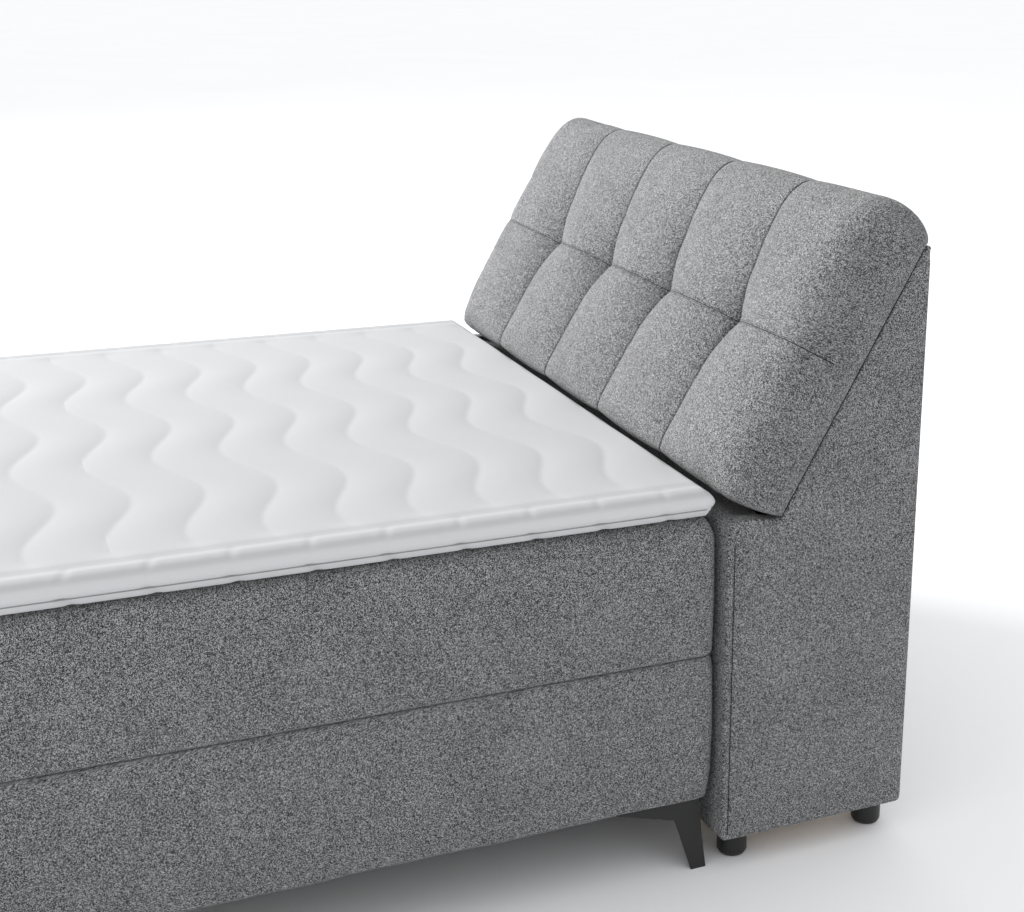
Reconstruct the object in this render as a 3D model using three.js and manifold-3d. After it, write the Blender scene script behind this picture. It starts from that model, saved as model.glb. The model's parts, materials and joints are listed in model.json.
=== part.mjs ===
// Upholstered adjustable bed: a box base on sheet-metal legs, a motor-lifted deck with its
// mattress and topper, and a storage headboard whose padded backrest is the lid.
// Millimetres. +Z is up and +Y points to the head end. The origin is on the floor, under the
// middle of the whole bed.
import * as THREE from 'three';
import { mergeVertices } from 'three/addons/utils/BufferGeometryUtils.js';
import Module from 'manifold-3d';

// Driving dimensions: overall
const BED_WIDTH = 1400;
const BED_LENGTH = 2000;
const HEADBOARD_WIDTH = 1436;
const HEADBOARD_DEPTH = 355;
const HEADBOARD_GAP = 8;
const GAP = 0.3;
const CURVE_STEPS = 8;

// Heights above the floor
const BOX_BOTTOM = 130;
const BOX_TOP = 390;
const MATTRESS_TOP = 628;
const TOPPER_TOP = 673;
const HEADBOARD_BOTTOM = 55;
const HINGE_HEIGHT = 361;

// The deck's four sections, along the bed, and how the bedding is cut at their hinges
const HEAD_LENGTH = 760;
const SEAT_LENGTH = 280;
const THIGH_LENGTH = 360;
const SEAT_LEAN_AT_HEAD = THREE.MathUtils.degToRad(18);
const HEAD_LEAN = THREE.MathUtils.degToRad(33);
const SEAT_LEAN_AT_THIGH = THREE.MathUtils.degToRad(12);
const THIGH_LEAN = THREE.MathUtils.degToRad(19);

// Box base
const PAD_THICKNESS = 12;
const BOARD_THICKNESS = 16;
const BOARD_INSET = 4;
const DUST_COVER_THICKNESS = 3;

// Deck boards and their flat-bar frames
const BAR_THICKNESS = 8;
const BAR_HEIGHT = 24;
const DECK_THICKNESS = 15;
const HEAD_DECK_SETBACK = 18;
const THIGH_DECK_SETBACK = 10;
const KNEE_DECK_SETBACK = 1.5;
const DECK_END_CLEARANCE = 38;
const ROD_RADIUS = 6;
const RUNNING_CLEARANCE = 0.1;

// Fixed rails and cross tubes
const RAIL_LOW = -65;
const RAIL_HIGH = 17;
const RAIL_END_CLEARANCE = 45;
const CROSS_TUBE_SIZE = 30;
const CROSS_TUBE_TOP = -13;

// Torque tubes, their lever arms and the motor that turns them
const TORQUE_TUBE_RADIUS = 15;
const TORQUE_TUBE_BORE = 12;
const TORQUE_TUBE_DROP = 45;
const HEAD_TUBE_OFFSET = 22;
const LEG_TUBE_OFFSET = 13;
const HEAD_ARM_LENGTH = 160;
const LEG_ARM_LENGTH = 120;
const ARM_ROOT_RADIUS = 24;
const ARM_TIP_RADIUS = 12;
const ARM_THICKNESS = 8;
const ARM_SPREAD = 100;
const MOTOR_HALF_WIDTH = 75;
const MOTOR_TOP = -20;
const MOTOR_BOTTOM = -118;
const MOTOR_END = 34;

// Corner legs
const LEG_INSET = 20;
const LEG_SPLAY = 12;
const LEG_SHEET = 4;
const LEG_WING = 150;
const LEG_WING_DEPTH = 6;
const LEG_KNEE_WIDTH = 46;
const LEG_KNEE_HEIGHT = 94;
const LEG_SOLE_WIDTH = 27;

// Headboard, measured back from its front face and up from the floor
const HEADBOARD_SIDE = 30;
const HEADBOARD_BACK = 15;
const HEADBOARD_BACK_TOP = 1034;
const LEDGE_CORNER = [92, 618];
const SLOPE_ANGLE = Math.atan2(251.4, 432);
const SIDE_TOP = 1050;
const LID_AXIS = [350, 1052];
const LID_BARREL_RADIUS = 3.8;
const LID_BOARD_THICKNESS = 12;
const GLIDE_RADIUS = 26;
const GLIDE_EDGE = 8;
const GLIDE_INSET = 54;
const GLIDE_FRONT = 48;
const GLIDE_REAR = 318;

// Places along the bed
const FOOT_END = -(BED_LENGTH + HEADBOARD_GAP + HEADBOARD_DEPTH) / 2;
const HEAD_END = FOOT_END + BED_LENGTH;
const HEADBOARD_FRONT = HEAD_END + HEADBOARD_GAP;
const HEAD_HINGE = HEAD_END - HEAD_LENGTH;
const THIGH_HINGE = HEAD_HINGE - SEAT_LENGTH;
const KNEE_HINGE = THIGH_HINGE - THIGH_LENGTH;
const CALF_LENGTH = KNEE_HINGE - FOOT_END;

// Places across the bed: the pads, boards, rails and deck frames, from the outside in
const HALF_BED = BED_WIDTH / 2;
const BOARD_OUTSIDE = HALF_BED - PAD_THICKNESS - GAP;
const BOARD_INSIDE = BOARD_OUTSIDE - BOARD_THICKNESS;
const RAIL_OUTSIDE = BOARD_INSIDE - GAP;
const BAR_OUTSIDE = RAIL_OUTSIDE - BAR_THICKNESS - GAP;
const CALF_BAR_OUTSIDE = BAR_OUTSIDE - BAR_THICKNESS - GAP;
const HALF_DECK = BAR_OUTSIDE - 2;

// Heights above the hinge lines
const DECK_BOTTOM = BAR_HEIGHT / 2 + GAP;
const MATTRESS_BOTTOM = BOX_TOP - HINGE_HEIGHT + GAP;
const MATTRESS_LAYER = [MATTRESS_BOTTOM, MATTRESS_TOP - HINGE_HEIGHT - GAP];
const TOPPER_LAYER = [MATTRESS_TOP - HINGE_HEIGHT, TOPPER_TOP - HINGE_HEIGHT];
const BEDDING_LAYER = [MATTRESS_BOTTOM, TOPPER_TOP - HINGE_HEIGHT];

const material = (color, roughness, metalness = 0) =>
  new THREE.MeshStandardMaterial({ color, roughness, metalness });
const GREY_WEAVE = material(0x808386, 0.95);
const WHITE_KNIT = material(0xe4e6e5, 0.9);
const BLACK_FELT = material(0x1d1e20, 0.98);
const CHIPBOARD = material(0xb99b6e, 0.8);
const PLYWOOD = material(0xcaa878, 0.7);
const DARK_STEEL = material(0x2c2e31, 0.45, 0.6);
const BRIGHT_STEEL = material(0xb4b7ba, 0.3, 1);
const LEG_BLACK = material(0x141416, 0.5, 0.4);
const BLACK_PLASTIC = material(0x101112, 0.55);

// The local frame of a side view: its x runs along the bed, its y up, its depth across the bed.
const SIDE_VIEW = new THREE.Matrix4().makeBasis(
  new THREE.Vector3(0, 1, 0),
  new THREE.Vector3(0, 0, 1),
  new THREE.Vector3(1, 0, 0),
);

const wasm = await Module();
wasm.setup();

function piece(name, geometry, finish, parent) {
  const mesh = new THREE.Mesh(geometry, finish);
  mesh.name = name;
  parent.add(mesh);
  return mesh;
}

// A block between two opposite corners.
function block(name, [x0, x1], [y0, y1], [z0, z1], finish, parent) {
  const mesh = piece(name, new THREE.BoxGeometry(x1 - x0, y1 - y0, z1 - z0), finish, parent);
  mesh.position.set((x0 + x1) / 2, (y0 + y1) / 2, (z0 + z1) / 2);
  return mesh;
}

const outline = (points) => new THREE.Shape(points.map(([y, z]) => new THREE.Vector2(y, z)));

const extrude = (shape, depth) =>
  new THREE.ExtrudeGeometry(shape, { depth, bevelEnabled: false, curveSegments: CURVE_STEPS });

// A side view extruded across the bed from x0 to x1.
function acrossBed(name, shape, [x0, x1], finish, parent) {
  const mesh = piece(name, extrude(shape, x1 - x0), finish, parent);
  mesh.setRotationFromMatrix(SIDE_VIEW);
  mesh.position.x = x0;
  return mesh;
}

function roundHole(shape, [y, z], radius) {
  const hole = new THREE.Path();
  hole.absarc(y, z, radius, 0, 2 * Math.PI, true);
  shape.holes.push(hole);
}

// A faceted hole whose flats still clear a round shaft of this radius.
function shaftHole(shape, centre, shaftRadius) {
  const flats = Math.cos(Math.PI / (2 * CURVE_STEPS));
  roundHole(shape, centre, (shaftRadius + RUNNING_CLEARANCE) / flats);
}

function addGroup(parent, y, z) {
  const group = new THREE.Group();
  group.position.set(0, y, z);
  parent.add(group);
  return group;
}

const leftAndRight = [['left', -1], ['right', 1]];

// An x range of the given thickness whose outer face is at distance `outside` on one side.
function sideRange(side, outside, thickness) {
  const range = [side * outside, side * (outside - thickness)];
  return range.sort((a, b) => a - b);
}

function toSolid(geometry) {
  const bare = geometry.clone();
  bare.deleteAttribute('normal');
  bare.deleteAttribute('uv');
  const merged = mergeVertices(bare, 1e-3);
  const vertProperties = new Float32Array(merged.attributes.position.array);
  const triVerts = new Uint32Array(merged.index.array);
  return new wasm.Manifold(new wasm.Mesh({ numProp: 3, vertProperties, triVerts }));
}

function toGeometry(solid) {
  const mesh = solid.getMesh();
  const geometry = new THREE.BufferGeometry();
  geometry.setAttribute('position', new THREE.BufferAttribute(mesh.vertProperties, 3));
  geometry.setIndex(new THREE.BufferAttribute(mesh.triVerts, 1));
  geometry.computeVertexNormals();
  return geometry;
}

const joined = (geometries) =>
  toGeometry(geometries.map(toSolid).reduce((whole, next) => whole.add(next)));

// Box base: chipboard boards, an upholstered pad outside each, and the felt under them.
function makeBox(bed) {
  const boardHeights = [BOX_BOTTOM + BOARD_INSET, BOX_TOP - BOARD_INSET];
  const padHeights = [BOX_BOTTOM, BOX_TOP];
  const footBoard = FOOT_END + PAD_THICKNESS + GAP;
  const headBoard = HEAD_END - PAD_THICKNESS - GAP;
  for (const [side, sign] of leftAndRight) {
    const pad = sideRange(sign, HALF_BED, PAD_THICKNESS);
    const board = sideRange(sign, BOARD_OUTSIDE, BOARD_THICKNESS);
    block(`side_pad_${side}`, pad, [FOOT_END, HEAD_END], padHeights, GREY_WEAVE, bed);
    block(`side_board_${side}`, board, [footBoard, headBoard], boardHeights, CHIPBOARD, bed);
  }
  const padWidth = [-HALF_BED + PAD_THICKNESS + GAP, HALF_BED - PAD_THICKNESS - GAP];
  const boardWidth = [-BOARD_INSIDE + GAP, BOARD_INSIDE - GAP];
  const footPad = [FOOT_END, FOOT_END + PAD_THICKNESS];
  const headPad = [HEAD_END - PAD_THICKNESS, HEAD_END];
  const footBoardDepth = [footBoard, footBoard + BOARD_THICKNESS];
  const headBoardDepth = [headBoard - BOARD_THICKNESS, headBoard];
  block('foot_pad', padWidth, footPad, padHeights, GREY_WEAVE, bed);
  block('head_pad', padWidth, headPad, padHeights, GREY_WEAVE, bed);
  block('foot_board', boardWidth, footBoardDepth, boardHeights, CHIPBOARD, bed);
  block('head_board', boardWidth, headBoardDepth, boardHeights, CHIPBOARD, bed);
  const coverHeights = [BOX_BOTTOM + GAP, BOX_BOTTOM + GAP + DUST_COVER_THICKNESS];
  block('dust_cover', padWidth, [footBoard, headBoard], coverHeights, BLACK_FELT, bed);
}

// A folded sheet-metal leg for the corner at +X, +Y: a flange along each edge, tapering from a
// long thin wing to the sole, and a three-cornered plate on top. The shear splays it outwards.
function legGeometry() {
  const flange = outline([
    [0, BOX_BOTTOM],
    [-LEG_WING, BOX_BOTTOM],
    [-LEG_WING, BOX_BOTTOM - LEG_WING_DEPTH],
    [-LEG_KNEE_WIDTH, LEG_KNEE_HEIGHT],
    [-LEG_SOLE_WIDTH, 0],
    [0, 0],
  ]);
  const alongBed = extrude(flange, LEG_SHEET).applyMatrix4(SIDE_VIEW).translate(-LEG_SHEET, 0, 0);
  const endView = new THREE.Matrix4().makeBasis(
    new THREE.Vector3(1, 0, 0),
    new THREE.Vector3(0, 0, 1),
    new THREE.Vector3(0, -1, 0),
  );
  const acrossEnd = extrude(flange, LEG_SHEET).applyMatrix4(endView);
  const plate = extrude(outline([[0, 0], [-LEG_WING, 0], [0, -LEG_WING]]), LEG_SHEET);
  plate.translate(0, 0, BOX_BOTTOM - LEG_SHEET);
  const leg = joined([alongBed, acrossEnd, plate]);
  const splay = new THREE.Matrix4().makeShear(0, 0, 0, 0, -LEG_SPLAY / BOX_BOTTOM, -LEG_SPLAY / BOX_BOTTOM);
  return leg.applyMatrix4(splay).translate(LEG_SPLAY, LEG_SPLAY, 0);
}

function makeLegs(bed) {
  const corners = [
    ['head_right', 1, 1, 0],
    ['head_left', -1, 1, Math.PI / 2],
    ['foot_left', -1, -1, Math.PI],
    ['foot_right', 1, -1, -Math.PI / 2],
  ];
  const middle = (HEAD_END + FOOT_END) / 2;
  for (const [corner, xSign, ySign, turn] of corners) {
    const leg = piece(`leg_${corner}`, legGeometry(), LEG_BLACK, bed);
    leg.rotation.z = turn;
    leg.position.x = xSign * (HALF_BED - LEG_INSET);
    leg.position.y = middle + ySign * (BED_LENGTH / 2 - LEG_INSET);
  }
}

// A flat bar in side view between two places, with a round end and a rod hole at each hinge.
function barShape(from, to, hinges) {
  const half = BAR_HEIGHT / 2;
  const low = hinges.includes(from);
  const high = hinges.includes(to);
  const shape = new THREE.Shape();
  shape.moveTo(from, -half);
  shape.lineTo(to, -half);
  if (high) {
    shape.absarc(to, 0, half, -Math.PI / 2, Math.PI / 2, false);
  } else {
    shape.lineTo(to, half);
  }
  shape.lineTo(from, half);
  if (low) {
    shape.absarc(from, 0, half, Math.PI / 2, 1.5 * Math.PI, false);
  } else {
    shape.lineTo(from, -half);
  }
  for (const hinge of hinges) {
    shaftHole(shape, [hinge, 0], ROD_RADIUS);
  }
  return shape;
}

function makeBars(section, from, to, hinges, outside, parent) {
  for (const [side, sign] of leftAndRight) {
    const width = sideRange(sign, outside, BAR_THICKNESS);
    acrossBed(`${section}_bar_${side}`, barShape(from, to, hinges), width, DARK_STEEL, parent);
  }
}

function makeDeck(section, depth, parent) {
  const heights = [DECK_BOTTOM, DECK_BOTTOM + DECK_THICKNESS];
  block(`${section}_deck`, [-HALF_DECK, HALF_DECK], depth, heights, PLYWOOD, parent);
}

// A rod across the bed on a hinge line, through the bars and rails.
function makeRod(name, y, halfLength, parent) {
  const rod = new THREE.CylinderGeometry(ROD_RADIUS, ROD_RADIUS, 2 * halfLength, 2 * CURVE_STEPS);
  const mesh = piece(name, rod, BRIGHT_STEEL, parent);
  mesh.rotation.z = Math.PI / 2;
  mesh.position.y = y;
}

// A bedding block between two end faces. A face is [y, lean]: it crosses the hinge height at y
// and leans by that angle towards the head as it rises.
function bedding(name, footFace, headFace, [low, high], finish, parent) {
  const at = ([y, lean], z) => y + z * Math.tan(lean);
  const shape = outline([
    [at(footFace, low), low],
    [at(headFace, low), low],
    [at(headFace, high), high],
    [at(footFace, high), high],
  ]);
  acrossBed(name, shape, [-HALF_BED, HALF_BED], finish, parent);
}

function makeBedding(section, footFace, headFace, parent) {
  bedding(`mattress_${section}`, footFace, headFace, MATTRESS_LAYER, GREY_WEAVE, parent);
  bedding(`topper_${section}`, footFace, headFace, TOPPER_LAYER, WHITE_KNIT, parent);
}

// The fixed middle: rails, cross tubes, hinge rods, seat deck, and the soft folds over the hinges.
function makeSeat(bed) {
  const seat = addGroup(bed, 0, HINGE_HEIGHT);
  const railEnds = [FOOT_END + RAIL_END_CLEARANCE, HEAD_END - RAIL_END_CLEARANCE];
  for (const [side, sign] of leftAndRight) {
    const rail = outline([
      [railEnds[0], RAIL_LOW],
      [railEnds[1], RAIL_LOW],
      [railEnds[1], RAIL_HIGH],
      [railEnds[0], RAIL_HIGH],
    ]);
    shaftHole(rail, [HEAD_HINGE, 0], ROD_RADIUS);
    shaftHole(rail, [THIGH_HINGE, 0], ROD_RADIUS);
    shaftHole(rail, [HEAD_HINGE + HEAD_TUBE_OFFSET, -TORQUE_TUBE_DROP], TORQUE_TUBE_RADIUS);
    shaftHole(rail, [THIGH_HINGE - LEG_TUBE_OFFSET, -TORQUE_TUBE_DROP], TORQUE_TUBE_RADIUS);
    acrossBed(`frame_rail_${side}`, rail, sideRange(sign, RAIL_OUTSIDE, BAR_THICKNESS), DARK_STEEL, seat);
  }
  const tubeWidth = RAIL_OUTSIDE - BAR_THICKNESS - GAP;
  const tubeHeights = [CROSS_TUBE_TOP - CROSS_TUBE_SIZE, CROSS_TUBE_TOP];
  for (const [end, y] of [['head', 640], ['foot', -1000]]) {
    const depth = [y, y + CROSS_TUBE_SIZE];
    block(`cross_tube_${end}`, [-tubeWidth, tubeWidth], depth, tubeHeights, DARK_STEEL, seat);
  }
  makeRod('head_hinge_rod', HEAD_HINGE, RAIL_OUTSIDE, seat);
  makeRod('thigh_hinge_rod', THIGH_HINGE, RAIL_OUTSIDE, seat);
  makeDeck('seat', [THIGH_HINGE + THIGH_DECK_SETBACK, HEAD_HINGE - HEAD_DECK_SETBACK], seat);
  const headFace = [HEAD_HINGE, -SEAT_LEAN_AT_HEAD];
  const thighFace = [THIGH_HINGE, SEAT_LEAN_AT_THIGH];
  makeBedding('seat', thighFace, headFace, seat);
  const headFold = [[HEAD_HINGE + GAP, -SEAT_LEAN_AT_HEAD], [HEAD_HINGE - GAP, HEAD_LEAN]];
  const thighFold = [[THIGH_HINGE + GAP, -THIGH_LEAN], [THIGH_HINGE - GAP, SEAT_LEAN_AT_THIGH]];
  bedding('bedding_fold_head', ...headFold, BEDDING_LAYER, GREY_WEAVE, seat);
  bedding('bedding_fold_thigh', ...thighFold, BEDDING_LAYER, GREY_WEAVE, seat);
  return seat;
}

function makeHeadSection(bed) {
  const section = addGroup(bed, HEAD_HINGE, HINGE_HEIGHT);
  const end = HEAD_LENGTH - DECK_END_CLEARANCE;
  const crossWidth = BAR_OUTSIDE - BAR_THICKNESS - GAP;
  makeBars('head', 0, end, [0], BAR_OUTSIDE, section);
  const crossDepth = [end - BAR_HEIGHT, end];
  const crossHeights = [-BAR_HEIGHT / 2, BAR_HEIGHT / 2];
  block('head_end_bar', [-crossWidth, crossWidth], crossDepth, crossHeights, DARK_STEEL, section);
  makeDeck('head', [HEAD_DECK_SETBACK, end], section);
  makeBedding('head', [0, HEAD_LEAN], [HEAD_LENGTH, 0], section);
}

function makeThighSection(bed) {
  const section = addGroup(bed, THIGH_HINGE, HINGE_HEIGHT);
  makeBars('thigh', -THIGH_LENGTH, 0, [-THIGH_LENGTH, 0], BAR_OUTSIDE, section);
  makeRod('knee_hinge_rod', -THIGH_LENGTH, BAR_OUTSIDE, section);
  makeDeck('thigh', [-THIGH_LENGTH + KNEE_DECK_SETBACK, -THIGH_DECK_SETBACK], section);
  makeBedding('thigh', [-THIGH_LENGTH + GAP, 0], [0, -THIGH_LEAN], section);
}

function makeCalfSection(bed) {
  const section = addGroup(bed, KNEE_HINGE, HINGE_HEIGHT);
  const end = -CALF_LENGTH + DECK_END_CLEARANCE;
  const crossWidth = CALF_BAR_OUTSIDE - BAR_THICKNESS - GAP;
  makeBars('calf', end, 0, [0], CALF_BAR_OUTSIDE, section);
  const crossDepth = [end, end + BAR_HEIGHT];
  const crossHeights = [-BAR_HEIGHT / 2, BAR_HEIGHT / 2];
  block('calf_end_bar', [-crossWidth, crossWidth], crossDepth, crossHeights, DARK_STEEL, section);
  makeDeck('calf', [end, -KNEE_DECK_SETBACK], section);
  makeBedding('calf', [-CALF_LENGTH, 0], [-GAP, 0], section);
}

// A lever arm in side view: a root disc round the torque tube and a tip that presses the deck
// from below. The arm leans up just enough for its tip to touch the deck at rest.
function armShape(length, direction) {
  const rise = Math.asin(TORQUE_TUBE_DROP / length);
  const angle = direction > 0 ? rise : Math.PI - rise;
  const tip = [length * Math.cos(angle), length * Math.sin(angle) - GAP];
  const shape = new THREE.Shape();
  shape.absarc(0, 0, ARM_ROOT_RADIUS, angle + Math.PI / 2, angle + 1.5 * Math.PI, false);
  shape.absarc(...tip, ARM_TIP_RADIUS, angle - Math.PI / 2, angle + Math.PI / 2, false);
  shape.closePath();
  roundHole(shape, [0, 0], TORQUE_TUBE_BORE);
  return shape;
}

// A torque tube across the bed with its two welded lever arms, as one welded piece.
function makeLever(name, y, armLength, direction, parent) {
  const tube = new THREE.Shape();
  tube.absarc(0, 0, TORQUE_TUBE_RADIUS, 0, 2 * Math.PI, false);
  roundHole(tube, [0, 0], TORQUE_TUBE_BORE);
  const tubeGeometry = extrude(tube, 2 * RAIL_OUTSIDE).translate(0, 0, -RAIL_OUTSIDE);
  const arms = leftAndRight.map(([, sign]) => {
    const arm = extrude(armShape(armLength, direction), ARM_THICKNESS);
    return arm.translate(0, 0, sign * ARM_SPREAD - ARM_THICKNESS / 2);
  });
  const mesh = piece(name, joined([tubeGeometry, ...arms]), DARK_STEEL, parent);
  mesh.setRotationFromMatrix(SIDE_VIEW);
  mesh.position.set(0, y, -TORQUE_TUBE_DROP);
}

// The double motor hangs between the two torque tubes, which run through its ends.
function makeMotor(seat) {
  const headTube = HEAD_HINGE + HEAD_TUBE_OFFSET;
  const legTube = THIGH_HINGE - LEG_TUBE_OFFSET;
  makeLever('head_lever', headTube, HEAD_ARM_LENGTH, 1, seat);
  makeLever('leg_lever', legTube, LEG_ARM_LENGTH, -1, seat);
  const slant = MOTOR_END + TORQUE_TUBE_RADIUS;
  const body = outline([
    [legTube - MOTOR_END, MOTOR_TOP],
    [legTube - MOTOR_END, MOTOR_TOP - slant],
    [legTube + slant, MOTOR_BOTTOM],
    [headTube - slant, MOTOR_BOTTOM],
    [headTube + MOTOR_END, MOTOR_TOP - slant],
    [headTube + MOTOR_END, MOTOR_TOP],
  ]);
  shaftHole(body, [headTube, -TORQUE_TUBE_DROP], TORQUE_TUBE_RADIUS);
  shaftHole(body, [legTube, -TORQUE_TUBE_DROP], TORQUE_TUBE_RADIUS);
  acrossBed('motor_housing', body, [-MOTOR_HALF_WIDTH, MOTOR_HALF_WIDTH], BLACK_PLASTIC, seat);
  const inletWidth = [MOTOR_HALF_WIDTH + GAP, MOTOR_HALF_WIDTH + 14];
  block('power_inlet', inletWidth, [-95, -55], [-100, -72], BLACK_PLASTIC, seat);
}

// A place on the backrest's slope: `along` up the slope from the ledge, `out` towards the bed.
function onSlope(along, out) {
  const [y, z] = LEDGE_CORNER;
  const sin = Math.sin(SLOPE_ANGLE);
  const cos = Math.cos(SLOPE_ANGLE);
  return [y + along * sin - out * cos, z + along * cos + out * sin];
}

function makeHeadboardShell(headboard) {
  const slopeLength = (SIDE_TOP - LEDGE_CORNER[1]) / Math.cos(SLOPE_ANGLE);
  const side = outline([
    [0, HEADBOARD_BOTTOM],
    [HEADBOARD_DEPTH, HEADBOARD_BOTTOM],
    [HEADBOARD_DEPTH, SIDE_TOP - 12],
    [HEADBOARD_DEPTH - 6, SIDE_TOP],
    onSlope(slopeLength, 0),
    LEDGE_CORNER,
    [61, 622],
    [25, 625],
    [8, 616],
    [0, 596],
  ]);
  const half = HEADBOARD_WIDTH / 2;
  for (const [name, sign] of leftAndRight) {
    const width = sideRange(sign, half, HEADBOARD_SIDE);
    acrossBed(`headboard_side_${name}`, side, width, GREY_WEAVE, headboard);
  }
  const inside = half - HEADBOARD_SIDE - GAP;
  const width = [-inside, inside];
  const front = outline([
    [0, HEADBOARD_BOTTOM],
    [18, HEADBOARD_BOTTOM],
    [18, 585],
    [28, 604],
    [55, 602],
    [84, 598],
    LEDGE_CORNER,
    [61, 622],
    [25, 625],
    [8, 616],
    [0, 596],
  ]);
  acrossBed('headboard_front', front, width, GREY_WEAVE, headboard);
  const back = outline([
    [HEADBOARD_DEPTH - HEADBOARD_BACK, HEADBOARD_BOTTOM],
    [HEADBOARD_DEPTH, HEADBOARD_BOTTOM],
    [HEADBOARD_DEPTH, HEADBOARD_BACK_TOP],
    [HEADBOARD_DEPTH - 3.5, HEADBOARD_BACK_TOP],
    [HEADBOARD_DEPTH - HEADBOARD_BACK, HEADBOARD_BACK_TOP - 24],
  ]);
  acrossBed('headboard_back', back, width, GREY_WEAVE, headboard);
  const floorDepth = [18 + GAP, HEADBOARD_DEPTH - HEADBOARD_BACK - GAP];
  block('storage_floor', width, floorDepth, [HEADBOARD_BOTTOM, HEADBOARD_BOTTOM + 15], CHIPBOARD, headboard);
}

// The piano hinge along the top rear edge, and the lid that turns on it: a board let in between
// the side panels, and the cushion that also covers their slopes.
function makeLid(headboard) {
  const inside = HEADBOARD_WIDTH / 2 - HEADBOARD_SIDE - 2;
  const [axisY, axisZ] = LID_AXIS;
  const hinge = new THREE.Shape();
  hinge.moveTo(axisY + 1.6, HEADBOARD_BACK_TOP + GAP);
  hinge.lineTo(axisY + LID_BARREL_RADIUS, HEADBOARD_BACK_TOP + GAP);
  hinge.absarc(axisY, axisZ, LID_BARREL_RADIUS, 0, 1.6 * Math.PI, false);
  hinge.closePath();
  acrossBed('lid_hinge', hinge, [-inside, inside], BRIGHT_STEEL, headboard);
  const board = outline([
    onSlope(14, -GAP),
    onSlope(14, -GAP - LID_BOARD_THICKNESS),
    onSlope(489, -GAP - LID_BOARD_THICKNESS),
    onSlope(489, -GAP),
  ]);
  acrossBed('lid_board', board, [-inside, inside], PLYWOOD, headboard);
  const cushion = outline([
    onSlope(6, GAP),
    onSlope(494, GAP),
    [346, 1057],
    [354, 1063],
    [354, 1086],
    [342, 1108],
    [322, 1117],
    [300, 1110],
    [279, 1090],
    onSlope(10, 75),
  ]);
  const half = HEADBOARD_WIDTH / 2 - 1;
  acrossBed('backrest_cushion', cushion, [-half, half], GREY_WEAVE, headboard);
}

function makeGlides(headboard) {
  const height = HEADBOARD_BOTTOM - GAP;
  const profile = [
    [0, 0],
    [GLIDE_RADIUS - GLIDE_EDGE, 0],
    [GLIDE_RADIUS - GLIDE_EDGE / 3, GLIDE_EDGE / 3],
    [GLIDE_RADIUS, GLIDE_EDGE],
    [GLIDE_RADIUS, height],
    [0, height],
  ].map(([radius, z]) => new THREE.Vector2(radius, z));
  for (const [side, sign] of leftAndRight) {
    for (const [end, y] of [['front', GLIDE_FRONT], ['rear', GLIDE_REAR]]) {
      const geometry = new THREE.LatheGeometry(profile, 24).rotateX(Math.PI / 2);
      const glide = piece(`glide_${end}_${side}`, geometry, BLACK_PLASTIC, headboard);
      glide.position.set(sign * (HEADBOARD_WIDTH / 2 - GLIDE_INSET), y, 0);
    }
  }
}

// Spacers that couple the headboard to the box across the gap.
function makeCouplers(bed) {
  for (const [side, sign] of leftAndRight) {
    const width = sideRange(sign, 430, 60);
    const depth = [HEAD_END + GAP, HEADBOARD_FRONT - GAP];
    block(`coupler_${side}`, width, depth, [180, 300], DARK_STEEL, bed);
  }
}

function makeBed() {
  const bed = new THREE.Group();
  makeBox(bed);
  makeLegs(bed);
  const seat = makeSeat(bed);
  makeHeadSection(bed);
  makeThighSection(bed);
  makeCalfSection(bed);
  makeMotor(seat);
  const headboard = addGroup(bed, HEADBOARD_FRONT, 0);
  makeHeadboardShell(headboard);
  makeLid(headboard);
  makeGlides(headboard);
  makeCouplers(bed);
  return bed;
}

const group = makeBed();
export default group;
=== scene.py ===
import json
import math

import bmesh
import bpy
import numpy as np
from mathutils import Matrix, Vector
from mathutils.geometry import delaunay_2d_cdt


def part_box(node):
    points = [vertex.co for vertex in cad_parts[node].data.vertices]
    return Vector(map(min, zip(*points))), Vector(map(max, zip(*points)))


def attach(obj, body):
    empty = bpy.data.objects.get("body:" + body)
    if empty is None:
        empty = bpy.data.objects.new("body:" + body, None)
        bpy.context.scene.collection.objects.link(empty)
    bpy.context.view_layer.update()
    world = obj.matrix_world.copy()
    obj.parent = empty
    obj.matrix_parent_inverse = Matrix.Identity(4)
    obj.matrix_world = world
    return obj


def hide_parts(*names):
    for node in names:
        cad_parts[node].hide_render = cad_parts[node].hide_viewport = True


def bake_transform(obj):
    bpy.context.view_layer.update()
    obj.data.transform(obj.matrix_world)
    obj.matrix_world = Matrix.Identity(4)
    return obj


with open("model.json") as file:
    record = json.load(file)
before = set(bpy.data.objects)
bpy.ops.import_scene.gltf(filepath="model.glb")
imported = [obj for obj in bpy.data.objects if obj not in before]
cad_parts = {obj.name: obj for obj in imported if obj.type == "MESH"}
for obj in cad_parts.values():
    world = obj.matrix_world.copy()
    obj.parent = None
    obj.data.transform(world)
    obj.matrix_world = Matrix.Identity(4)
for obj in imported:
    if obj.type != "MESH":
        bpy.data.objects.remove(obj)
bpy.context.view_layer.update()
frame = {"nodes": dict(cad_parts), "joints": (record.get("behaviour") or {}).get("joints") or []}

# Everything is in metres, in the frame of the CAD model: +Y to the head, +X to the right-hand
# side seen from the foot, +Z up, with the origin on the floor under the middle of the bed.

# -------------------------------- places from the CAD model

HALF_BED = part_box("side_pad_right")[1].x
FOOT_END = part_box("foot_pad")[0].y
HEAD_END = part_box("head_pad")[1].y
BOX_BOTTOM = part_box("side_pad_right")[0].z
MATTRESS_LOW, MATTRESS_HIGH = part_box("mattress_head")[0].z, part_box("mattress_head")[1].z
TOPPER_LOW, TOPPER_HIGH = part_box("topper_head")[0].z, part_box("topper_head")[1].z
HALF_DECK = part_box("seat_deck")[1].x

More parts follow.
